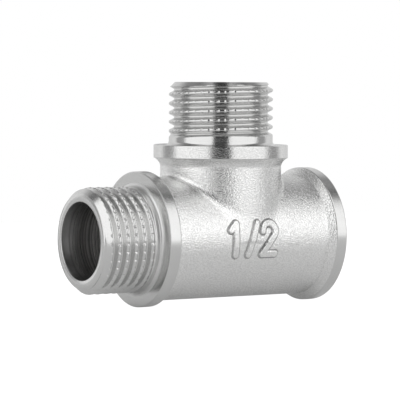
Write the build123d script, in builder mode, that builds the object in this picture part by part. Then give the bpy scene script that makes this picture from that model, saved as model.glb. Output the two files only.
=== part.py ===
from build123d import *
from math import cos, radians, sin, tan
import os

# A threaded pipe tee: two male ends, one female end, one size throughout.
#
# Frame: millimetres. The origin is where the axis of the run and the axis of the branch cross.
# The run lies along X, with its male end at -X and its female end at +X. The branch points up +Z.
#
# The real tee is one forging. The sub-parts here are its regions, split at the planes where one
# machining operation ends and the next begins, and each one meets its neighbours face to face.

# ---- the thread, G 1/2 (ISO 228-1): 14 threads to the inch, 55 degree form ----
PITCH = 25.4 / 14
HALF_FLANK_ANGLE = 27.5
THREAD_DEPTH = 0.6403 * PITCH
MAJOR_RADIUS = 20.955 / 2
MINOR_RADIUS = MAJOR_RADIUS - THREAD_DEPTH
ROOT_FLAT = PITCH / 6

# ---- the waterway ----
BORE_RADIUS = 7.5
BORE_CHAMFER = 0.15

# ---- the male ends ----
MALE_CREST_RADIUS = 10.335
MALE_END_RADIUS = 9.14
RUN_MALE_END = -31.84
RUN_FIRST_GROOVE = 2.52
BRANCH_END = 30.65
BRANCH_FIRST_GROOVE = 1.03

# ---- the collars behind the male threads ----
RUN_COLLAR_FACE = -19.66
RUN_COLLAR_WIDTH = 2.45
RUN_COLLAR_RADIUS = 13.24
BRANCH_COLLAR_FACE = 18.25
BRANCH_COLLAR_WIDTH = 2.64
BRANCH_COLLAR_RADIUS = 13.35
COLLAR_CHAMFER = 0.2

# ---- the forged body ----
BARREL_RADIUS = 12.12
NECK_RADIUS = 12.02
COLLAR_ROOT_FILLET = 0.7
NECK_FLARE_HEIGHT = 1.65

# ---- the female end ----
SOCKET_FLARE_START = 17.85
SOCKET_BAND_START = 19.13
SOCKET_FACE = 21.43
SOCKET_BAND_RADIUS = 13.44
SOCKET_DEPTH = 12.5
SOCKET_SLEEVE_RADIUS = 11.0
SOCKET_MOUTH_RADIUS = 10.75
SOCKET_FIRST_GROOVE = 0.9

# ---- the raised mark on the front of the body: a plain size mark, a half ----
MARK_HEIGHT = 0.45
MARK_STROKE = 1.45
MARK_CENTRE_X = -0.3
MARK_CENTRE_Z = 0.2
DIGIT_HEIGHT = 6.0
DIGIT_SPACING = 3.8
FLAG = 1.2
SLASH_LEAN = 0.9
BOWL_RADIUS = DIGIT_HEIGHT / 4
BOWL_START_ANGLE = 180
BOWL_SWEEP = -215

# How far a cutting outline passes the surface that it cuts
OVERSHOOT = 0.06


def radial_plane(seat):
    """The plane through the seat's axis, with x pointing outwards and y along the axis."""
    return Plane(origin=seat.origin, x_dir=seat.x_dir, z_dir=seat.x_dir.cross(seat.z_dir))


def closed_outline(plane, *points):
    """A flat face on a plane, from the corners of its outline."""
    with BuildSketch(plane) as outline:
        with BuildLine():
            Polyline(*points, close=True)
        make_face()
    return outline.sketch


def turned(seat, *points, mode=Mode.ADD):
    """Turn an outline of (radius, height) corners about the seat's axis, in the active part."""
    revolve(closed_outline(radial_plane(seat), *points), axis=Axis(seat.origin, seat.z_dir), mode=mode)


def groove_half_width(depth):
    """Half the width of the thread groove, this far above its flat."""
    return ROOT_FLAT / 2 + abs(depth) * tan(radians(HALF_FLANK_ANGLE))


def cut_thread(seat, flat_radius, mouth_radius, low, high):
    """Cut a right-hand groove from low to high, in the active part. It starts on the seat's x axis."""
    depth = mouth_radius - flat_radius
    mouth = groove_half_width(depth)
    centre = seat.from_local_coords(Vector(0, 0, low))
    with BuildLine(mode=Mode.PRIVATE) as path:
        Helix(pitch=PITCH, height=high - low, radius=flat_radius, center=centre, direction=seat.z_dir)
    start = path.line @ 0
    plane = Plane(origin=start, x_dir=(start - centre).normalized(), z_dir=path.line % 0)
    flat = ROOT_FLAT / 2
    groove = closed_outline(plane, (0, -flat), (depth, -mouth), (depth, mouth), (0, flat))
    sweep(groove, path=path.line, is_frenet=True, mode=Mode.SUBTRACT)


def male_thread(seat, root, length, first_groove):
    """A male end: a plain root inside the collar, a land, the thread, and a chamfered end."""
    past_crest = MALE_CREST_RADIUS + OVERSHOOT
    past_end = length + OVERSHOOT
    with BuildPart() as thread:
        turned(
            seat,
            (BORE_RADIUS, -root),
            (MALE_CREST_RADIUS, -root),
            (MALE_CREST_RADIUS, length),
            (BORE_RADIUS, length),
        )
        cut_thread(seat, MINOR_RADIUS, past_crest, first_groove, length + PITCH)
        turned(
            seat,
            (past_crest, length - (past_crest - MALE_END_RADIUS)),
            (past_crest, past_end),
            (MALE_END_RADIUS - OVERSHOOT, past_end),
            mode=Mode.SUBTRACT,
        )
        turned(
            seat,
            (BORE_RADIUS - OVERSHOOT, length - BORE_CHAMFER - OVERSHOOT),
            (BORE_RADIUS + BORE_CHAMFER + OVERSHOOT, past_end),
            (BORE_RADIUS - OVERSHOOT, past_end),
            mode=Mode.SUBTRACT,
        )
    return thread


def female_thread(seat, depth):
    """The threaded wall of the socket. It stands on the inner end and opens along its axis."""
    past_crest = MINOR_RADIUS - OVERSHOOT
    past_end = depth + OVERSHOOT
    with BuildPart() as thread:
        turned(
            seat,
            (MINOR_RADIUS, 0),
            (SOCKET_SLEEVE_RADIUS, 0),
            (SOCKET_SLEEVE_RADIUS, depth),
            (MINOR_RADIUS, depth),
        )
        cut_thread(seat, MAJOR_RADIUS, past_crest, SOCKET_FIRST_GROOVE, depth + PITCH)
        turned(
            seat,
            (past_crest, depth - (SOCKET_MOUTH_RADIUS - past_crest)),
            (SOCKET_MOUTH_RADIUS + OVERSHOOT, past_end),
            (past_crest, past_end),
            mode=Mode.SUBTRACT,
        )
    return thread


def turned_collar(seat, width, radius):
    """A turned collar that ends at its seat plane and surrounds the root of the male end."""
    with BuildPart() as collar:
        turned(
            seat,
            (MALE_CREST_RADIUS, -width),
            (radius - COLLAR_CHAMFER, -width),
            (radius, COLLAR_CHAMFER - width),
            (radius, -COLLAR_CHAMFER),
            (radius - COLLAR_CHAMFER, 0),
            (MALE_CREST_RADIUS, 0),
        )
    return collar


def barrel_and_neck(growth):
    """The front stretch of the barrel and the neck as plain cylinders, this much larger all round."""
    with BuildPart() as pair:
        with BuildSketch(Plane.YZ):
            Circle(BARREL_RADIUS + growth)
        extrude(amount=BARREL_RADIUS, both=True)
        with BuildSketch(Plane.XY):
            Circle(NECK_RADIUS + growth)
        extrude(amount=NECK_RADIUS)
    return pair.part


# ---- planes that the sub-parts stand on ----
run_seat = Plane(origin=(RUN_COLLAR_FACE, 0, 0), x_dir=(0, 0, -1), z_dir=(-1, 0, 0))
branch_seat = Plane(origin=(0, 0, BRANCH_COLLAR_FACE), x_dir=(1, 0, 0), z_dir=(0, 0, 1))
socket_floor = Plane(origin=(SOCKET_FACE - SOCKET_DEPTH, 0, 0), x_dir=(0, 0, 1), z_dir=(1, 0, 0))
mark_place = (MARK_CENTRE_X, MARK_STROKE - BARREL_RADIUS, MARK_CENTRE_Z)
mark_plane = Plane(origin=mark_place, x_dir=(1, 0, 0), z_dir=(0, -1, 0))

body_start = RUN_COLLAR_FACE + RUN_COLLAR_WIDTH
body_top = BRANCH_COLLAR_FACE - BRANCH_COLLAR_WIDTH
socket_floor_x = SOCKET_FACE - SOCKET_DEPTH

# ---- the forged body: the barrel and the neck ----
with BuildPart() as tee_body:
    with BuildSketch(Plane.XZ) as barrel_half:
        with BuildLine():
            root_top = BARREL_RADIUS + COLLAR_ROOT_FILLET
            fillet_end = body_start + COLLAR_ROOT_FILLET
            Line((body_start, 0), (body_start, root_top))
            RadiusArc((body_start, root_top), (fillet_end, BARREL_RADIUS), -COLLAR_ROOT_FILLET)
            Polyline(
                (fillet_end, BARREL_RADIUS),
                (SOCKET_FLARE_START, BARREL_RADIUS),
                (SOCKET_FLARE_START, 0),
                (body_start, 0),
            )
        make_face()
    revolve(axis=Axis.X)
    with BuildSketch(Plane.XZ) as neck_half:
        with BuildLine():
            flare_low = body_top - NECK_FLARE_HEIGHT
            flare_radius = BRANCH_COLLAR_RADIUS - COLLAR_CHAMFER
            Line((0, 0), (NECK_RADIUS, 0))
            Line((NECK_RADIUS, 0), (NECK_RADIUS, flare_low))
            TangentArc((NECK_RADIUS, flare_low), (flare_radius, body_top), tangent=(0, 1))
            Polyline((flare_radius, body_top), (0, body_top), (0, 0))
        make_face()
    revolve(axis=Axis.Z)
    with BuildSketch(Plane.YZ.offset(body_start)):
        Circle(BORE_RADIUS)
    extrude(amount=socket_floor_x - body_start, mode=Mode.SUBTRACT)
    with BuildSketch(Plane.YZ.offset(socket_floor_x)):
        Circle(SOCKET_SLEEVE_RADIUS)
    extrude(amount=SOCKET_FLARE_START - socket_floor_x, mode=Mode.SUBTRACT)
    with BuildSketch(Plane.XY):
        Circle(BORE_RADIUS)
    extrude(amount=body_top, mode=Mode.SUBTRACT)

# ---- the machined ends ----
run_thread = male_thread(run_seat, RUN_COLLAR_WIDTH, RUN_COLLAR_FACE - RUN_MALE_END, RUN_FIRST_GROOVE)
run_collar = turned_collar(run_seat, RUN_COLLAR_WIDTH, RUN_COLLAR_RADIUS)
branch_length = BRANCH_END - BRANCH_COLLAR_FACE
branch_thread = male_thread(branch_seat, BRANCH_COLLAR_WIDTH, branch_length, BRANCH_FIRST_GROOVE)
branch_collar = turned_collar(branch_seat, BRANCH_COLLAR_WIDTH, BRANCH_COLLAR_RADIUS)
socket_thread = female_thread(socket_floor, SOCKET_DEPTH)

with BuildPart() as socket_rim:
    with BuildSketch(Plane.XZ) as rim_half:
        with BuildLine():
            Polyline(
                (SOCKET_FLARE_START, SOCKET_SLEEVE_RADIUS),
                (SOCKET_FLARE_START, BARREL_RADIUS),
                (SOCKET_BAND_START, SOCKET_BAND_RADIUS),
                (SOCKET_FACE - COLLAR_CHAMFER, SOCKET_BAND_RADIUS),
                (SOCKET_FACE, SOCKET_BAND_RADIUS - COLLAR_CHAMFER),
                (SOCKET_FACE, SOCKET_SLEEVE_RADIUS),
                close=True,
            )
        make_face()
    revolve(axis=Axis.X)

# ---- the raised size mark, a half: a figure one, a slanted bar and a figure two ----
with BuildPart() as casting_mark:
    with BuildSketch(mark_plane):
        half = DIGIT_HEIGHT / 2
        with BuildLine():
            bowl = CenterArc((DIGIT_SPACING, half - BOWL_RADIUS), BOWL_RADIUS, BOWL_START_ANGLE, BOWL_SWEEP)
        trace(line_width=MARK_STROKE)
        with Locations(bowl @ 0):
            Circle(MARK_STROKE / 2)
        one_top = (-DIGIT_SPACING, half)
        two_foot = (DIGIT_SPACING - BOWL_RADIUS, -half)
        strokes = [
            ((-DIGIT_SPACING - FLAG, half - FLAG), one_top),
            (one_top, (-DIGIT_SPACING, -half)),
            ((-SLASH_LEAN, -half), (SLASH_LEAN, half)),
            (bowl @ 1, two_foot),
            (two_foot, (DIGIT_SPACING + BOWL_RADIUS, -half)),
        ]
        for start, end in strokes:
            with BuildLine():
                Line(start, end)
            trace(line_width=MARK_STROKE)
            with Locations(start, end):
                Circle(MARK_STROKE / 2)
    extrude(amount=2 * MARK_STROKE)
    add(barrel_and_neck(MARK_HEIGHT), mode=Mode.INTERSECT)
    add(barrel_and_neck(0), mode=Mode.SUBTRACT)

sub_parts = {
    "tee_body": tee_body,
    "run_collar": run_collar,
    "run_thread": run_thread,
    "branch_collar": branch_collar,
    "branch_thread": branch_thread,
    "socket_rim": socket_rim,
    "socket_thread": socket_thread,
    "casting_mark": casting_mark,
}
os.makedirs("parts", exist_ok=True)
for name, builder in sub_parts.items():
    builder.part.label = name
    export_step(builder.part, f"parts/{name}.step")
    print(name, len(builder.part.solids()), "solids", round(builder.part.volume, 2), "cubic mm")
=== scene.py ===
import math

import bmesh
import bpy
import numpy as np
from mathutils import Matrix, Vector


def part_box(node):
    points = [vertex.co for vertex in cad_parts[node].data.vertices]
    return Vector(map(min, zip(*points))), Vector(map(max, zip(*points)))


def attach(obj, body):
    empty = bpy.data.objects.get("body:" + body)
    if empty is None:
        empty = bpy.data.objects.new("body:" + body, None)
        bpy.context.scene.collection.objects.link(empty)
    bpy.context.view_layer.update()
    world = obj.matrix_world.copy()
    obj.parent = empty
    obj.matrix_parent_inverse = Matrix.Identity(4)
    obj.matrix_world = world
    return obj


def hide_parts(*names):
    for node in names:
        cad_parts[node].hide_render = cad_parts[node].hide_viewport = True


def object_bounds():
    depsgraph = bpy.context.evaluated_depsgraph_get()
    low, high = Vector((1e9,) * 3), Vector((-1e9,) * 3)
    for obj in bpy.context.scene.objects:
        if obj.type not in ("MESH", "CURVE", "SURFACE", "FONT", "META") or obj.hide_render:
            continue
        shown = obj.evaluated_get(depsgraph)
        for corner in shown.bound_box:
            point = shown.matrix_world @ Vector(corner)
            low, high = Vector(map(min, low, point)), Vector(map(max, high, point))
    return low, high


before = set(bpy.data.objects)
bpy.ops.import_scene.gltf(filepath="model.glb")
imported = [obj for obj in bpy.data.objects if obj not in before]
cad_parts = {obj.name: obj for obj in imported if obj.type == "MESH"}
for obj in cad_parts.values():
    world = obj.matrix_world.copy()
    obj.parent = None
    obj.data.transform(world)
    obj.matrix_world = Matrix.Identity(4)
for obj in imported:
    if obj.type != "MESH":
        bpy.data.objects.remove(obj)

# A nickel-plated threaded tee. Shapes are worked out in millimetres and stored in metres.
cad_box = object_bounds()
MM = 0.001


def span(node, axis):
    """The lowest and highest value, in millimetres, that a CAD node reaches along an axis."""
    low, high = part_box(node)
    return low[axis] / MM, high[axis] / MM


# ---- places and sizes that come from the frame ----
RUN_END = span("run_thread", 0)[0]
RUN_FACE, RUN_BACK = span("run_collar", 0)
RUN_COLLAR_RADIUS = span("run_collar", 2)[1]
CREST_RADIUS = span("run_thread", 2)[1]
BRANCH_END = span("branch_thread", 2)[1]
BRANCH_BACK, BRANCH_FACE = span("branch_collar", 2)
BRANCH_COLLAR_RADIUS = span("branch_collar", 0)[1]
FLARE_START, SOCKET_FACE = span("socket_rim", 0)
RIM_RADIUS = span("socket_rim", 2)[1]
COLLAR_ROOT_FILLET = 0.7
BARREL_RADIUS = -span("tee_body", 2)[0] - COLLAR_ROOT_FILLET
SOCKET_FLOOR = span("socket_thread", 0)[0]
SLEEVE_RADIUS = span("socket_thread", 2)[1]

# ---- the G 1/2 thread: 14 threads to the inch, 55 degree form ----
PITCH = 25.4 / 14
FLANK = math.tan(math.radians(55 / 2))
ROOT_FLAT = PITCH / 6
THREAD_DEPTH = 0.6403 * PITCH
MAJOR_RADIUS = 20.955 / 2
MINOR_RADIUS = MAJOR_RADIUS - THREAD_DEPTH
ROOT_BLEND = 0.16
CREST_BLEND = 0.28
INNER_CREST_BLEND = 0.14
RUN_FIRST_GROOVE = 2.52
BRANCH_FIRST_GROOVE = 19.28 - BRANCH_FACE
SOCKET_FIRST_GROOVE = 0.9
# Where each thread starts and where it is full, from the collar or from the socket's inner end
RUN_RUNOUT = (1.2, 2.6)
BRANCH_RUNOUT = (1.3, 2.9)
SOCKET_RUNOUT = (0.3, 1.6)
END_RADIUS = 9.14
LAND_LENGTH = 1.5

# ---- the small notches across the crests of the male threads ----
NOTCHES_PER_TURN = 40
NOTCHED_TURNS = 8
NOTCH_SHARPNESS = 3
WEAKEST_NOTCH = 0.55
NOTCH_START = CREST_RADIUS - 0.2
NOTCH_FULL = CREST_RADIUS - 0.04
RUN_NOTCH_DEPTH = 0.26
BRANCH_NOTCH_DEPTH = 0.11

# ---- the rest of the shape ----
BORE_RADIUS = 7.5
BORE_CHAMFER = 0.15
# Faces nearer to the axis than these have the bore's material, in a male end and in the body
BORE_LIMIT = BORE_RADIUS + 1.2 * BORE_CHAMFER
WATERWAY_LIMIT = BORE_RADIUS + 0.05
NECK_RADIUS = 12.02
NECK_FLARE_HEIGHT = 1.65
NECK_FLARE_INSET = 0.05
EDGE = 0.2
NECK_FLARE = BRANCH_COLLAR_RADIUS - EDGE - NECK_FLARE_INSET - NECK_RADIUS
ROOT_FILLET = 0.7
# How far the forged body reaches into its neighbours, so that no gap shows
OVERLAP = 0.35
CREASE_BLEND = 0.9
BODY_STEP = 0.24
# How far past a rounded corner the flat side is held flat
FLAT_KEEPER = 0.06
BAND_START = 19.13
MOUTH_RADIUS = 10.75

# ---- mesh cleaning, in metres ----
MERGE_DISTANCE = 1e-6
SHORTEST_EDGE = 1e-7


# ---------------------------------------------------------------- meshes


def smoothstep(low, high, value):
    """A smooth rise from 0 to 1 between low and high."""
    t = np.clip((value - low) / (high - low), 0, 1)
    return t * t * (3 - 2 * t)


def soft_min(a, b, blend):
    """The smaller of a and b, rounded over where they meet."""
    t = np.clip(0.5 + 0.5 * (b - a) / blend, 0, 1)
    return b * (1 - t) + a * t - blend * t * (1 - t)


def soft_max(a, b, blend):
    """The larger of a and b, rounded over where they meet."""
    return -soft_min(-a, -b, blend)


def finish_mesh(name, points, faces, sharp=None):
    """Turn points in millimetres and faces into a clean closed object with outward normals."""
    mesh = bpy.data.meshes.new(name)
    mesh.from_pydata((points * MM).tolist(), [], faces.tolist())
    tidy = bmesh.new()
    tidy.from_mesh(mesh)
    bmesh.ops.remove_doubles(tidy, verts=tidy.verts, dist=MERGE_DISTANCE)
    bmesh.ops.dissolve_degenerate(tidy, edges=tidy.edges, dist=SHORTEST_EDGE)
    bmesh.ops.recalc_face_normals(tidy, faces=tidy.faces)
    tidy.to_mesh(mesh)
    tidy.free()
    mesh.shade_smooth()
    if sharp is not None:
        mesh.set_sharp_from_angle(angle=math.radians(sharp))
    piece = bpy.data.objects.new(name, mesh)
    bpy.context.scene.collection.objects.link(piece)
    return piece


def seat(origin, outwards, axis):
    """A frame for a turned part: where it stands, where angle 0 points, and its axis."""
    outwards = np.array(outwards, float)
    axis = np.array(axis, float)
    return np.array(origin, float), outwards, np.cross(axis, outwards), axis


def place(at, radius, angle, height):
    """Points from cylinder coordinates on a seat."""
    origin, outwards, sideways, axis = at
    radius, angle, height = np.broadcast_arrays(radius, angle, height)
    x = (radius * np.cos(angle))[..., None] * outwards
    y = (radius * np.sin(angle))[..., None] * sideways
    return origin + x + y + height[..., None] * axis


RUN_WIDTH = RUN_BACK - RUN_FACE
BRANCH_WIDTH = BRANCH_FACE - BRANCH_BACK
RUN_SEAT = seat((RUN_FACE, 0, 0), (0, 0, -1), (-1, 0, 0))
RUN_BACK_SEAT = seat((RUN_BACK, 0, 0), (0, 0, -1), (-1, 0, 0))
BRANCH_SEAT = seat((0, 0, BRANCH_FACE), (1, 0, 0), (0, 0, 1))
BRANCH_BACK_SEAT = seat((0, 0, BRANCH_BACK), (1, 0, 0), (0, 0, 1))
SOCKET_SEAT = seat((SOCKET_FLOOR, 0, 0), (0, 0, 1), (1, 0, 0))
RIM_SEAT = seat((FLARE_START, 0, 0), (0, 0, 1), (1, 0, 0))


def ring_faces(lower, upper):
    """Quads between two rings of point numbers."""
    return np.stack([lower, np.roll(lower, -1), np.roll(upper, -1), upper], axis=1)


def lathe(name, at, profile, segments=240, sharp=28):
    """Turn a closed profile of (radius, height) corners about a seat's axis."""
    angle = np.linspace(0, 2 * math.pi, segments, endpoint=False)
    points = np.concatenate([place(at, radius, angle, height) for radius, height in profile])
    rings = np.arange(len(points)).reshape(len(profile), segments)
    faces = np.concatenate([ring_faces(rings[i - 1], rings[i]) for i in range(len(profile))])
    return finish_mesh(name, points, faces, sharp)


def towards(start, end, distance):
    """The point at a distance from start on the way to end."""
    start, end = np.array(start), np.array(end)
    return start + (end - start) / np.linalg.norm(end - start) * distance


def corner(before, at, after, cut, steps=4):
    """Points that round one corner of a profile, between two cuts at a distance from it."""
    start, end = towards(at, before, cut), towards(at, after, cut)
    t = np.linspace(0, 1, steps + 1)[:, None]
    return (1 - t) ** 2 * start + 2 * t * (1 - t) * np.array(at) + t**2 * end


def rounded(profile, cuts):
    """A closed profile with corners rounded by their cuts, and the sides between kept flat."""
    points = []
    for i, at in enumerate(profile):
        before, after = profile[i - 1], profile[(i + 1) % len(profile)]
        if cuts[i] == 0:
            points.append(np.array(at))
        else:
            points.append(towards(at, before, cuts[i] + FLAT_KEEPER))
            points.extend(corner(before, at, after, cuts[i]))
            points.append(towards(at, after, cuts[i] + FLAT_KEEPER))
    return points


def threaded(name, at, length, radius_at, closing, columns, rows_per_pitch=30, sharp=50):
    """A threaded sheet whose rows follow the helix, closed by a plain profile behind it."""
    step = PITCH / rows_per_pitch
    rows = math.ceil((length + PITCH) / step) + 1
    angle = np.arange(columns) * 2 * math.pi / columns
    row_height = np.arange(rows) * step - PITCH
    height = np.clip(row_height[:, None] + PITCH * angle / (2 * math.pi), 0, length)
    radius = radius_at(height, np.broadcast_to(angle, height.shape))
    sheet = place(at, radius, angle, height).reshape(-1, 3)
    number = np.arange(rows * columns).reshape(rows, columns)
    seam = number[np.minimum(np.arange(rows) + rows_per_pitch, rows - 1), 0]
    wrapped = np.concatenate([number, seam[:, None]], axis=1)
    quads = np.stack([wrapped[:-1, :-1], wrapped[:-1, 1:], wrapped[1:, 1:], wrapped[1:, :-1]], axis=-1)
    back = np.concatenate([place(at, r, angle, h) for r, h in closing])
    rings = np.arange(len(back)).reshape(len(closing), columns) + len(sheet)
    rings = np.concatenate([number[-1:], rings, number[:1]])
    faces = [quads.reshape(-1, 4)] + [ring_faces(rings[i], rings[i + 1]) for i in range(len(rings) - 1)]
    return finish_mesh(name, np.concatenate([sheet, back]), np.concatenate(faces), sharp)


def groove_distance(height, angle, first_groove):
    """How far a point is from the middle of the nearest thread groove, along the axis."""
    along = height - PITCH * angle / (2 * math.pi) - first_groove
    return np.abs((along + PITCH / 2) % PITCH - PITCH / 2)


def male_radius(length, first_groove, runout, notch_depth, seed):
    """The surface of a male end: root fillet, land, run-out, notched thread, and end chamfer."""
    rng = np.random.default_rng(seed)
    strength = WEAKEST_NOTCH + (1 - WEAKEST_NOTCH) * rng.random(NOTCHED_TURNS * NOTCHES_PER_TURN)

    def radius_at(height, angle):
        flank = MINOR_RADIUS + (groove_distance(height, angle, first_groove) - ROOT_FLAT / 2) / FLANK
        thread = soft_min(soft_max(flank, MINOR_RADIUS, ROOT_BLEND), CREST_RADIUS, CREST_BLEND)
        depth = smoothstep(*runout, height)
        thread = CREST_RADIUS - (CREST_RADIUS - thread) * depth
        # The 2 keeps the numbers of the turns above zero
        turn = np.floor(height / PITCH - angle / (2 * math.pi) + 2)
        notch = np.round(angle * NOTCHES_PER_TURN / (2 * math.pi)) % NOTCHES_PER_TURN
        here = strength[(turn * NOTCHES_PER_TURN + notch).astype(int) % len(strength)]
        dip = np.clip(np.cos(angle * NOTCHES_PER_TURN), 0, 1) ** NOTCH_SHARPNESS
        crest = smoothstep(NOTCH_START, NOTCH_FULL, thread) * depth
        thread = thread - notch_depth * here * dip * crest
        chamfer = END_RADIUS + (length - height)
        into = np.clip(ROOT_FILLET - height, 0, ROOT_FILLET)
        fillet = ROOT_FILLET - np.sqrt(ROOT_FILLET**2 - into**2)
        return np.minimum(thread, chamfer) + fillet

    return radius_at


def male_end(name, at, root, length, first_groove, runout, notch_depth, seed):
    """A male end: its threaded outside, closed by its bore and by the plain root in its collar."""
    radius_at = male_radius(length, first_groove, runout, notch_depth, seed)
    closing = [
        (BORE_RADIUS + BORE_CHAMFER, length),
        (BORE_RADIUS, length - BORE_CHAMFER),
        (BORE_RADIUS, length / 2),
        (BORE_RADIUS, -root),
        (CREST_RADIUS, -root),
    ]
    return threaded(name, at, length, radius_at, closing, columns=480)


def female_radius(length):
    """The inside of the socket: thread, run-out at the inner end, and a chamfered mouth."""

    def radius_at(height, angle):
        distance = groove_distance(height, angle, SOCKET_FIRST_GROOVE)
        flank = MAJOR_RADIUS - (distance - ROOT_FLAT / 2) / FLANK
        thread = soft_max(soft_min(flank, MAJOR_RADIUS, ROOT_BLEND), MINOR_RADIUS, INNER_CREST_BLEND)
        depth = smoothstep(*SOCKET_RUNOUT, height)
        thread = MINOR_RADIUS + (thread - MINOR_RADIUS) * depth
        return np.maximum(thread, MOUTH_RADIUS - (length - height))

    return radius_at


def surface_net(field, low, high, step):
    """A closed mesh of the surface where the field is zero, one point per crossed cell."""
    axes = [np.arange(a, b + step, step) for a, b in zip(low, high)]
    value = field(*np.meshgrid(*axes, indexing="ij"))
    inside = value < 0
    total = np.zeros([n - 1 for n in value.shape] + [3])
    count = np.zeros([n - 1 for n in value.shape])
    cells = [slice(0, -1), slice(1, None)]
    for axis in range(3):
        others = [k for k in range(3) if k != axis]
        for first in (0, 1):
            for second in (0, 1):
                start = [None] * 3
                start[axis], start[others[0]], start[others[1]] = cells[0], cells[first], cells[second]
                end = list(start)
                end[axis] = cells[1]
                a, b = value[tuple(start)], value[tuple(end)]
                crossed = (a < 0) != (b < 0)
                share = np.where(crossed, a / np.where(crossed, a - b, 1), 0)
                offset = np.zeros(total.shape)
                offset[..., axis] = share
                offset[..., others[0]], offset[..., others[1]] = first, second
                total += offset * crossed[..., None]
                count += crossed
    used = count > 0
    number = np.full(count.shape, -1)
    number[used] = np.arange(used.sum())
    corner_of = np.stack(np.nonzero(used), axis=1)
    points = np.array(low) + step * (corner_of + total[used] / count[used][:, None])
    faces = []
    for axis in range(3):
        u, v = [k for k in range(3) if k != axis]
        start, end = [slice(1, -1)] * 3, [slice(1, -1)] * 3
        start[axis], end[axis] = slice(0, -1), slice(1, None)
        crossed = inside[tuple(start)] != inside[tuple(end)]
        at = np.stack(np.nonzero(crossed), axis=1)
        at[:, u] += 1
        at[:, v] += 1
        quad = []
        for du, dv in ((0, 0), (1, 0), (1, 1), (0, 1)):
            cell = at.copy()
            cell[:, u] -= du
            cell[:, v] -= dv
            quad.append(number[cell[:, 0], cell[:, 1], cell[:, 2]])
        faces.append(np.stack(quad, axis=1))
    return points, np.concatenate(faces)


def settle(points, field, rounds=6, reach=0.01, gentlest=0.2):
    """Move points onto the surface where the field is zero, by a few Newton steps."""
    for _ in range(rounds):
        value = field(*points.T)
        slope = np.empty(points.shape)
        for axis in range(3):
            shift = np.zeros(3)
            shift[axis] = reach
            slope[:, axis] = (field(*(points + shift).T) - field(*(points - shift).T)) / (2 * reach)
        steepness = np.maximum((slope**2).sum(axis=1), gentlest)
        points = points - (value / steepness)[:, None] * slope
    return points


def body_field(x, y, z):
    """Below zero inside the forged body: barrel and neck blended, less the waterway and socket."""
    from_run = np.hypot(y, z)
    from_branch = np.hypot(x, y)
    reach = np.clip(COLLAR_ROOT_FILLET - (x - RUN_BACK), 0, COLLAR_ROOT_FILLET)
    fillet = COLLAR_ROOT_FILLET - np.sqrt(COLLAR_ROOT_FILLET**2 - reach**2)
    barrel = from_run - BARREL_RADIUS - fillet
    rise = np.clip((z - BRANCH_BACK) / NECK_FLARE_HEIGHT + 1, 0, 1)
    neck = np.maximum(from_branch - NECK_RADIUS - NECK_FLARE * rise**2, -z)
    outside = soft_min(barrel, neck, CREASE_BLEND)
    outside = np.maximum(outside, np.maximum(RUN_BACK - OVERLAP - x, x - FLARE_START - OVERLAP))
    outside = np.maximum(outside, z - BRANCH_BACK - OVERLAP)
    waterway = np.minimum(from_run - BORE_RADIUS, np.maximum(from_branch - BORE_RADIUS, -z))
    socket = np.maximum(from_run - SLEEVE_RADIUS, SOCKET_FLOOR - x)
    return np.maximum(outside, np.maximum(-waterway, -socket))


def forged_body():
    """The barrel and the neck as one closed skin, from a grid a little larger than they are."""
    side = BARREL_RADIUS + 5 * BODY_STEP
    low = (RUN_BACK - 2.5 * BODY_STEP, -side, -side)
    high = (FLARE_START + 3 * BODY_STEP, side, BRANCH_BACK + 2.5 * BODY_STEP)
    points, faces = surface_net(body_field, low, high, BODY_STEP)
    return finish_mesh("forged_body", settle(points, body_field), faces, sharp=70)


# ---------------------------------------------------------------- the raised size mark

MARK_CENTRE = (-0.3, 0.2)
DIGIT_HEIGHT = 6.0
DIGIT_SPACING = 3.8
FLAG = 1.2
SLASH_LEAN = 0.9
BOWL_END = math.radians(-35)
SPECK = 0.01
MARK_STROKE = 1.45
MARK_HEIGHT = 0.42
MARK_DEPTH = 0.5
MARK_STEP = 0.07
# These three bands run across a stroke's edge, from outside it, below zero, to inside. The mark
# rises over the first, is below the body's skin outside the second, and has painted shade on the third.
SLOPE = (-0.3, 0.3)
SINKING = (-0.45, -0.1)
SHADED_FOOT = (-0.32, 0.1)
SUNK_DEPTH = 0.12
HALVINGS = 24


def to_segment(x, y, start, end):
    """Distance from points to a straight stroke."""
    start, end = np.array(start), np.array(end)
    along = end - start
    t = np.clip(((x - start[0]) * along[0] + (y - start[1]) * along[1]) / (along @ along), 0, 1)
    return np.hypot(x - start[0] - t * along[0], y - start[1] - t * along[1])


def to_strokes(x, y):
    """Distance from points to the strokes of the figure one, the bar and the figure two."""
    half = DIGIT_HEIGHT / 2
    bowl = half / 2
    top = half - bowl
    foot = (DIGIT_SPACING - bowl, -half)
    tail = (DIGIT_SPACING + bowl * math.cos(BOWL_END), top + bowl * math.sin(BOWL_END))
    from_centre = np.hypot(x - DIGIT_SPACING, y - top)
    bearing = np.arctan2(y - top, x - DIGIT_SPACING)
    on_arc = (bearing > BOWL_END) & (bearing < math.pi)
    arc_start = to_segment(x, y, (DIGIT_SPACING - bowl, top), (DIGIT_SPACING - bowl, top - SPECK))
    strokes = [
        to_segment(x, y, (-DIGIT_SPACING - FLAG, half - FLAG), (-DIGIT_SPACING, half)),
        to_segment(x, y, (-DIGIT_SPACING, half), (-DIGIT_SPACING, -half)),
        to_segment(x, y, (-SLASH_LEAN, -half), (SLASH_LEAN, half)),
        np.where(on_arc, np.abs(from_centre - bowl), arc_start),
        to_segment(x, y, tail, foot),
        to_segment(x, y, foot, (DIGIT_SPACING + bowl, -half)),
    ]
    return np.minimum.reduce(strokes)


def front_of_body(x, z):
    """How far forward the front of the forged body lies at these places."""
    inside = np.full(x.shape, BORE_RADIUS + 1)
    outside = np.full(x.shape, BARREL_RADIUS + 1)
    for _ in range(HALVINGS):
        middle = (inside + outside) / 2
        within = body_field(x, -middle, z) < 0
        inside = np.where(within, middle, inside)
        outside = np.where(within, outside, middle)
    return inside


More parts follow.
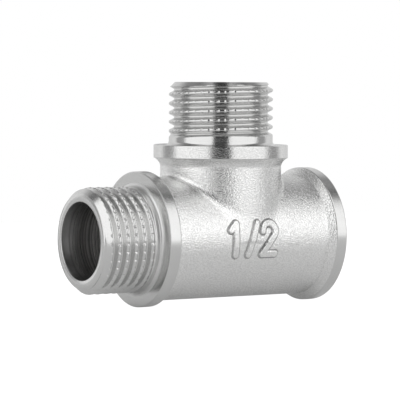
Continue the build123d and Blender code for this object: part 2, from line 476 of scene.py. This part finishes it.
def size_mark():
    """Raised cast strokes that follow the body, on a slab that is sunk in it."""
    reach_x = DIGIT_SPACING + DIGIT_HEIGHT / 4 + MARK_STROKE
    reach_z = DIGIT_HEIGHT / 2 + MARK_STROKE
    across = np.arange(-reach_x, reach_x + MARK_STEP, MARK_STEP)
    up = np.arange(-reach_z, reach_z + MARK_STEP, MARK_STEP)
    x, z = np.meshgrid(across, up, indexing="ij")
    inside = MARK_STROKE / 2 - to_strokes(x, z)
    height = MARK_HEIGHT * smoothstep(*SLOPE, inside)
    height = height - SUNK_DEPTH * (1 - smoothstep(*SINKING, inside))
    x, z = x + MARK_CENTRE[0], z + MARK_CENTRE[1]
    front = front_of_body(x, z)
    tilt = z / BARREL_RADIUS
    layers = []
    for rise in (height, np.full(x.shape, -MARK_DEPTH)):
        points = (x, -front - rise * np.sqrt(1 - tilt**2), z + rise * tilt)
        layers.append(np.stack(points, axis=-1).reshape(-1, 3))
    n, m = x.shape
    top = np.arange(n * m).reshape(n, m)
    sheet = np.stack([top[:-1, :-1], top[1:, :-1], top[1:, 1:], top[:-1, 1:]], axis=-1).reshape(-1, 4)
    edge = np.concatenate([top[:-1, 0], top[-1, :-1], top[:0:-1, -1], top[0, :0:-1]])
    faces = np.concatenate([sheet, sheet[:, ::-1] + n * m, ring_faces(edge, edge + n * m)])
    return finish_mesh("size_mark", np.concatenate(layers), faces)


def in_painted_shade(x, y, z):
    """Whether a place on the mark is at the foot of a stroke, where painted shade darkens it."""
    inside = MARK_STROKE / 2 - to_strokes(x - MARK_CENTRE[0], z - MARK_CENTRE[1])
    return SHADED_FOOT[0] < inside < SHADED_FOOT[1]


# ---------------------------------------------------------------- materials


class Nodes:
    """A short way to write a node tree."""

    def __init__(self, tree):
        self.tree = tree

    def add(self, kind, **values):
        node = self.tree.nodes.new(kind)
        for key, value in values.items():
            setattr(node, key, value)
        return node

    def join(self, source, target):
        self.tree.links.new(source, target)

    def feed(self, socket, value):
        """Give a socket a number, or the output of another node."""
        if isinstance(value, (int, float)):
            socket.default_value = value
        else:
            self.join(value, socket)

    def maths(self, operation, first, second=0.0):
        node = self.add("ShaderNodeMath", operation=operation)
        self.feed(node.inputs[0], first)
        self.feed(node.inputs[1], second)
        return node.outputs[0]

    def ramp(self, value, stops):
        """A grey level that follows a value through (position, level) stops."""
        node = self.add("ShaderNodeValToRGB")
        self.join(value, node.inputs[0])
        points = node.color_ramp.elements
        while len(points) < len(stops):
            points.new(0.5)
        for point, (position, level) in zip(points, stops):
            point.position = position
            point.color = (level, level, level, 1)
        return node.outputs[0]


class Material(Nodes):
    """A material, its shader, and the textures that the materials here share."""

    def __init__(self, name):
        self.material = bpy.data.materials.new(name)
        self.material.use_nodes = True
        super().__init__(self.material.node_tree)
        self.shader = self.tree.nodes["Principled BSDF"]

    def position(self):
        return self.add("ShaderNodeTexCoord").outputs["Object"]

    def noise(self, where, size_mm, detail=2.0, roughness=0.5):
        """Noise with features of about this size."""
        node = self.add("ShaderNodeTexNoise")
        self.join(where, node.inputs["Vector"])
        node.inputs["Scale"].default_value = 1 / (size_mm * MM)
        node.inputs["Detail"].default_value = detail
        node.inputs["Roughness"].default_value = roughness
        return node.outputs["Fac"]

    def lines(self, along, size_mm, detail=3.0):
        """Noise that varies along one number only, for turning lines."""
        node = self.add("ShaderNodeTexNoise", noise_dimensions="1D")
        self.join(along, node.inputs["W"])
        node.inputs["Scale"].default_value = 1 / (size_mm * MM)
        node.inputs["Detail"].default_value = detail
        return node.outputs["Fac"]

    def between(self, factor, low, high, start=0.3, stop=0.7):
        """A factor from start to stop spread over a range from low to high."""
        node = self.add("ShaderNodeMapRange")
        self.join(factor, node.inputs["Value"])
        node.inputs["From Min"].default_value = start
        node.inputs["From Max"].default_value = stop
        node.inputs["To Min"].default_value = low
        node.inputs["To Max"].default_value = high
        return node.outputs["Result"]

    def blend(self, factor, first, second):
        """A mix of two colours, each a colour or the output of another node."""
        node = self.add("ShaderNodeMix", data_type="RGBA")
        self.join(factor, node.inputs["Factor"])
        for socket, colour in ((node.inputs[6], first), (node.inputs[7], second)):
            if isinstance(colour, tuple):
                socket.default_value = (*colour, 1)
            else:
                self.join(colour, socket)
        return node.outputs[2]

    def bump(self, height, distance_mm, under=None):
        """A normal tilted by a height, over the normal of another bump if there is one."""
        node = self.add("ShaderNodeBump")
        node.inputs["Strength"].default_value = 1.0
        node.inputs["Distance"].default_value = distance_mm * MM
        self.join(height, node.inputs["Height"])
        if under is not None:
            self.join(under, node.inputs["Normal"])
        return node.outputs["Normal"]


def dimmed(colour, share):
    """A colour scaled by a share; a share over 1 lightens it."""
    return tuple(share * c for c in colour)


GRAIN_SIZE = 0.19
BLASTED_PATCH_SIZE = 3.5
BLASTED_SPREAD = 0.08


def blasted_nickel(name, light, dark, roughness, grain_depth):
    """Shot-blasted forging under nickel: satin, with a fine grain."""
    n = Material(name)
    where = n.position()
    grain = n.noise(where, GRAIN_SIZE, detail=0.5)
    patches = n.noise(where, BLASTED_PATCH_SIZE)
    n.shader.inputs["Metallic"].default_value = 1.0
    n.join(n.blend(n.between(grain, 0.0, 1.0), dark, light), n.shader.inputs["Base Color"])
    smooth, rough = roughness * (1 - BLASTED_SPREAD), roughness * (1 + BLASTED_SPREAD)
    n.join(n.between(patches, smooth, rough), n.shader.inputs["Roughness"])
    n.join(n.bump(grain, grain_depth), n.shader.inputs["Normal"])
    return n.material


TURNED_PATCH_SIZE = 2.2
TURNED_DIMMING = 0.93
SMOOTH_LINE = 0.8
ROUGH_LINE = 1.25
FINE_SIZE = 0.25
FINE_DEPTH = 0.01
RING_SIZE = 0.5
DARK_RING = 0.6
LIGHT_RING = 1.25
# Painted shade near a bore's mouth: how far in it reaches, in millimetres, and how dark it is
MOUTH_SHADE_LENGTH = 8.0
MOUTH_SHADE = 0.18


def turned_nickel(name, axis, colour, roughness, line_mm=0.09, line_depth=0.006, mouth=None):
    """Turned metal under nickel: bright, with fine lines round the axis.

    A bore also has a mouth, its end along the axis. Painted shade darkens its colour there, and it has
    wider rings.
    """
    n = Material(name)
    where = n.position()
    parts = n.add("ShaderNodeSeparateXYZ")
    n.join(where, parts.inputs[0])
    across = [k for k in "XYZ" if k != axis]
    square = [n.maths("MULTIPLY", parts.outputs[k], parts.outputs[k]) for k in across]
    radius = n.maths("SQRT", n.maths("ADD", square[0], square[1]))
    along = n.maths("ADD", parts.outputs[axis], radius)
    lines = n.lines(along, line_mm)
    n.shader.inputs["Metallic"].default_value = 1.0
    if mouth is None:
        tint = n.blend(n.noise(where, TURNED_PATCH_SIZE), dimmed(colour, TURNED_DIMMING), colour)
    else:
        rings = n.between(n.lines(along, RING_SIZE), 0.0, 1.0, start=0.35, stop=0.65)
        tint = n.blend(rings, dimmed(colour, DARK_RING), dimmed(colour, LIGHT_RING))
        # Painted shade: the colour darkens towards the mouth of the bore
        inner = mouth - math.copysign(MOUTH_SHADE_LENGTH, mouth)
        depth = n.between(parts.outputs[axis], 0.0, 1.0, start=mouth * MM, stop=inner * MM)
        tint = n.blend(depth, dimmed(colour, MOUTH_SHADE), tint)
    n.join(tint, n.shader.inputs["Base Color"])
    smooth, rough = roughness * SMOOTH_LINE, roughness * ROUGH_LINE
    n.join(n.between(lines, smooth, rough), n.shader.inputs["Roughness"])
    fine = n.bump(n.noise(where, FINE_SIZE), FINE_DEPTH)
    n.join(n.bump(lines, line_depth, under=fine), n.shader.inputs["Normal"])
    return n.material


# ---------------------------------------------------------------- the pieces


PALE = (0.90, 0.90, 0.895)
BRIGHT = (0.68, 0.68, 0.675)
SATIN_DARK = (0.56, 0.56, 0.555)
SATIN_LIGHT = (0.72, 0.72, 0.715)
# Painted shade at the feet of the mark's strokes
FOOT_SHADE_DARK = (0.36, 0.36, 0.36)
FOOT_SHADE_LIGHT = (0.54, 0.54, 0.535)
LAND_GREY = (0.74, 0.74, 0.735)
BRANCH_GREY = (0.64, 0.64, 0.635)
BORE_GREY = (0.74, 0.735, 0.73)
THREAD_LINES = {"line_mm": 0.2, "line_depth": 0.004}
BORE_LINES = {"line_mm": 0.3, "line_depth": 0.012}

blasted = blasted_nickel("blasted_nickel", PALE, BRIGHT, roughness=0.21, grain_depth=0.075)
# Painted shade for the feet of the mark's strokes
painted_foot_shade = blasted_nickel(
    "blasted_nickel_foot_shade", FOOT_SHADE_LIGHT, FOOT_SHADE_DARK, roughness=0.25, grain_depth=0.06
)
turned_x = turned_nickel("turned_nickel_run", "X", BRIGHT, roughness=0.2)
satin_z = blasted_nickel(
    "satin_nickel_branch", SATIN_LIGHT, SATIN_DARK, roughness=0.15, grain_depth=0.02
)
land_x = turned_nickel("land_nickel_run", "X", LAND_GREY, roughness=0.34)
thread_x = turned_nickel("thread_nickel_run", "X", BRIGHT, 0.2, **THREAD_LINES)
thread_z = turned_nickel("thread_nickel_branch", "Z", BRANCH_GREY, 0.15, **THREAD_LINES)
bore_x = turned_nickel("bore_run", "X", BORE_GREY, 0.34, **BORE_LINES, mouth=RUN_END)
bore_z = turned_nickel("bore_branch", "Z", BORE_GREY, 0.34, **BORE_LINES, mouth=BRANCH_END)


def assign(piece, *materials):
    for material in materials:
        piece.data.materials.append(material)


def paint(piece, slot_number, chosen):
    """Give the faces whose middles are chosen, from x, y and z, their own material slot."""
    for face in piece.data.polygons:
        if chosen(*np.array(face.center) / MM):
            face.material_index = slot_number


def adopt(piece, node):
    """Ride on the one rigid body, and stand for the CAD node."""
    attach(piece, "root")
    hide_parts(node)


def in_waterway(x, y, z):
    return math.hypot(y, z) < WATERWAY_LIMIT or (math.hypot(x, y) < WATERWAY_LIMIT and z > 0)


def build_body():
    body = forged_body()
    assign(body, blasted, bore_x)
    paint(body, 1, in_waterway)
    adopt(body, "tee_body")


def build_collar(name, node, at, width, radius, material):
    outline = [(CREST_RADIUS, 0), (radius, 0), (radius, width), (CREST_RADIUS, width)]
    collar = lathe(name, at, rounded(outline, [0, EDGE, EDGE, 0]))
    assign(collar, material)
    adopt(collar, node)


def build_rim():
    width = SOCKET_FACE - FLARE_START
    outline = [
        (SLEEVE_RADIUS, 0),
        (BARREL_RADIUS, 0),
        (RIM_RADIUS, BAND_START - FLARE_START),
        (RIM_RADIUS, width),
        (SLEEVE_RADIUS, width),
    ]
    rim = lathe("rim_band", RIM_SEAT, rounded(outline, [0, 0, EDGE, EDGE, 0]))
    assign(rim, turned_x, blasted)
    paint(rim, 1, lambda x, y, z: math.hypot(y, z) > BARREL_RADIUS and x < BAND_START - EDGE / 2)
    adopt(rim, "socket_rim")


def build_run_thread():
    run = male_end(
        "male_thread_run",
        RUN_SEAT,
        root=RUN_WIDTH,
        length=RUN_FACE - RUN_END,
        first_groove=RUN_FIRST_GROOVE,
        runout=RUN_RUNOUT,
        notch_depth=RUN_NOTCH_DEPTH,
        seed=3,
    )
    assign(run, thread_x, bore_x, land_x)
    paint(run, 2, lambda x, y, z: x > RUN_FACE - LAND_LENGTH)
    paint(run, 1, lambda x, y, z: math.hypot(y, z) < BORE_LIMIT)
    adopt(run, "run_thread")


def build_branch_thread():
    branch = male_end(
        "male_thread_branch",
        BRANCH_SEAT,
        root=BRANCH_WIDTH,
        length=BRANCH_END - BRANCH_FACE,
        first_groove=BRANCH_FIRST_GROOVE,
        runout=BRANCH_RUNOUT,
        notch_depth=BRANCH_NOTCH_DEPTH,
        seed=8,
    )
    assign(branch, thread_z, bore_z)
    paint(branch, 1, lambda x, y, z: math.hypot(x, y) < BORE_LIMIT)
    adopt(branch, "branch_thread")


def build_socket_thread():
    length = SOCKET_FACE - SOCKET_FLOOR
    closing = [(SLEEVE_RADIUS, length), (SLEEVE_RADIUS, 0)]
    socket = threaded("female_thread", SOCKET_SEAT, length, female_radius(length), closing, columns=180)
    assign(socket, thread_x)
    adopt(socket, "socket_thread")


def build_mark():
    mark = size_mark()
    assign(mark, blasted, painted_foot_shade)
    # The feet of the strokes get the painted shade
    paint(mark, 1, in_painted_shade)
    adopt(mark, "casting_mark")


build_body()
build_collar("collar_run", "run_collar", RUN_BACK_SEAT, RUN_WIDTH, RUN_COLLAR_RADIUS, turned_x)
build_collar(
    "collar_branch", "branch_collar", BRANCH_BACK_SEAT, BRANCH_WIDTH, BRANCH_COLLAR_RADIUS, satin_z
)
build_rim()
build_run_thread()
build_branch_thread()
build_socket_thread()
build_mark()

# ---------------------------------------------------------------- camera, floor and light

VIEW_AZIMUTH = math.radians(-32.387)
VIEW_ELEVATION = math.radians(2.899)
VIEW_ROLL = math.radians(-0.313)
VIEW_DISTANCE = 456.4
AIM_RIGHT = -4.049
AIM_UP = 7.195
LENS = 206.31
SENSOR = 36.0
CLIP_START = 0.01


def set_camera():
    """The camera that was fitted to the photograph, about the point where the axes cross."""
    a, e = VIEW_AZIMUTH, VIEW_ELEVATION
    back = Vector((math.sin(a) * math.cos(e), -math.cos(a) * math.cos(e), math.sin(e)))
    right = Vector((math.cos(a), math.sin(a), 0))
    up = back.cross(right)
    target = right * AIM_RIGHT + up * AIM_UP
    tilted_right = right * math.cos(VIEW_ROLL) - up * math.sin(VIEW_ROLL)
    tilted_up = right * math.sin(VIEW_ROLL) + up * math.cos(VIEW_ROLL)
    data = bpy.data.cameras.new("camera")
    data.lens = LENS
    data.sensor_width = SENSOR
    data.clip_start = CLIP_START
    camera = bpy.data.objects.new("camera", data)
    turn = Matrix((tilted_right, tilted_up, back)).transposed().to_4x4()
    camera.matrix_world = Matrix.Translation((target + back * VIEW_DISTANCE) * MM) @ turn
    bpy.context.scene.collection.objects.link(camera)
    bpy.context.scene.camera = camera


FLOOR_SIZE = 0.5
FLOOR_DROP = 0.02
FLOOR_SHADE = 0.72
FLOOR_GLOW = 0.13
SEEN_GLOW = 1.25
SEEN_SHARE = 0.8


def add_floor():
    """A pale floor under the tee, whiter to the camera than in reflections.

    It ends near the tee, so that upright walls reflect the world's dark gap past its edge.
    """
    n = Material("floor")
    n.shader.inputs["Base Color"].default_value = (FLOOR_SHADE, FLOOR_SHADE, FLOOR_SHADE, 1)
    n.shader.inputs["Roughness"].default_value = 0.9
    n.shader.inputs["Emission Color"].default_value = (1, 1, 1, 1)
    n.shader.inputs["Emission Strength"].default_value = FLOOR_GLOW
    glow = n.add("ShaderNodeEmission")
    glow.inputs["Strength"].default_value = SEEN_GLOW
    seen = n.add("ShaderNodeLightPath").outputs["Is Camera Ray"]
    mix = n.add("ShaderNodeMixShader")
    n.join(n.maths("MULTIPLY", seen, SEEN_SHARE), mix.inputs[0])
    n.join(n.shader.outputs[0], mix.inputs[1])
    n.join(glow.outputs[0], mix.inputs[2])
    n.join(mix.outputs[0], n.tree.nodes["Material Output"].inputs["Surface"])
    height = cad_box[0].z - FLOOR_DROP * MM
    bpy.ops.mesh.primitive_plane_add(size=FLOOR_SIZE, location=(0, 0, height))
    floor = bpy.context.object
    floor.name = "floor"
    floor.data.materials.append(n.material)


LIGHT = 1.7
# The dark gap between the two soft boxes, measured by the sideways part of a unit direction
GAP_HALF_WIDTH = 0.12
GAP_WIDENING = 0.15
GAP_SOFTNESS = 0.07
GAP_LEVEL = 0.05
# Light levels at angles round from the camera and at angles above the horizon, in degrees
ROUND_LEVELS = ((82, 1.0), (91, 0.32), (112, 0.32), (122, 0.75), (150, 0.6), (170, 0.58))
LOW_LEVELS = ((-18, 0.75), (-10.8, 1.0))
# Where the upper walls beside and behind the tee are darker, and how much
WALL_ROUND = ((86, 0.0), (98, 1.0), (150, 1.0), (168, 0.2))
WALL_RISE = ((30, 0.0), (46, 1.0), (62, 1.0), (74, 0.3))
WALL_SHADE = 0.65


def by_angle(stops, start=0):
    """Ramp stops at angles in degrees, as shares of the half turn that begins at start."""
    return [((angle - start) / 180, level) for angle, level in stops]


def set_world():
    """A white room with two soft boxes beside the camera and darker walls further round."""
    world = bpy.data.worlds.new("studio")
    bpy.context.scene.world = world
    world.use_nodes = True
    n = Nodes(world.node_tree)
    n.tree.nodes.clear()

    parts = n.add("ShaderNodeSeparateXYZ")
    n.join(n.add("ShaderNodeTexCoord").outputs["Generated"], parts.inputs[0])
    x, y, z = parts.outputs
    sin_a, cos_a = math.sin(VIEW_AZIMUTH), math.cos(VIEW_AZIMUTH)
    facing = n.maths("ADD", n.maths("MULTIPLY", x, sin_a), n.maths("MULTIPLY", y, -cos_a))
    beside = n.maths("ADD", n.maths("MULTIPLY", x, cos_a), n.maths("MULTIPLY", y, sin_a))
    lateral = n.maths("ABSOLUTE", beside)

    # Both angles are shares of half a turn: round from the camera, and up from straight down
    round_angle = n.maths("DIVIDE", n.maths("ARCTAN2", lateral, facing), math.pi)
    height = n.maths("ADD", n.maths("DIVIDE", n.maths("ARCSINE", z), math.pi), 0.5)

    # The gap narrows overhead and behind
    gap_edge = n.maths("ADD", n.maths("MULTIPLY", facing, GAP_WIDENING), GAP_HALF_WIDTH)
    past_edge = n.maths("DIVIDE", n.maths("SUBTRACT", lateral, gap_edge), GAP_SOFTNESS)
    gap = n.ramp(past_edge, [(0.0, GAP_LEVEL), (1.0, 1.0)])

    level = n.ramp(round_angle, by_angle(ROUND_LEVELS))
    low_shade = n.ramp(height, by_angle(LOW_LEVELS, start=-90))
    aside = n.ramp(round_angle, by_angle(WALL_ROUND))
    upper = n.ramp(height, by_angle(WALL_RISE, start=-90))
    wall = n.maths("MULTIPLY", n.maths("MULTIPLY", aside, upper), WALL_SHADE)
    shade = n.maths("MULTIPLY", low_shade, n.maths("SUBTRACT", 1.0, wall))
    light = n.maths("MULTIPLY", n.maths("MULTIPLY", gap, n.maths("MULTIPLY", level, shade)), LIGHT)

    lit = n.add("ShaderNodeBackground")
    n.join(light, lit.inputs["Strength"])
    seen = n.add("ShaderNodeBackground")
    seen.inputs["Color"].default_value = (1, 1, 1, 1)
    seen.inputs["Strength"].default_value = 1.0
    mix = n.add("ShaderNodeMixShader")
    n.join(n.add("ShaderNodeLightPath").outputs["Is Camera Ray"], mix.inputs[0])
    n.join(lit.outputs[0], mix.inputs[1])
    n.join(seen.outputs[0], mix.inputs[2])
    n.join(mix.outputs[0], n.add("ShaderNodeOutputWorld").inputs[0])


set_camera()
add_floor()
set_world()
bpy.context.scene.view_settings.view_transform = "Standard"
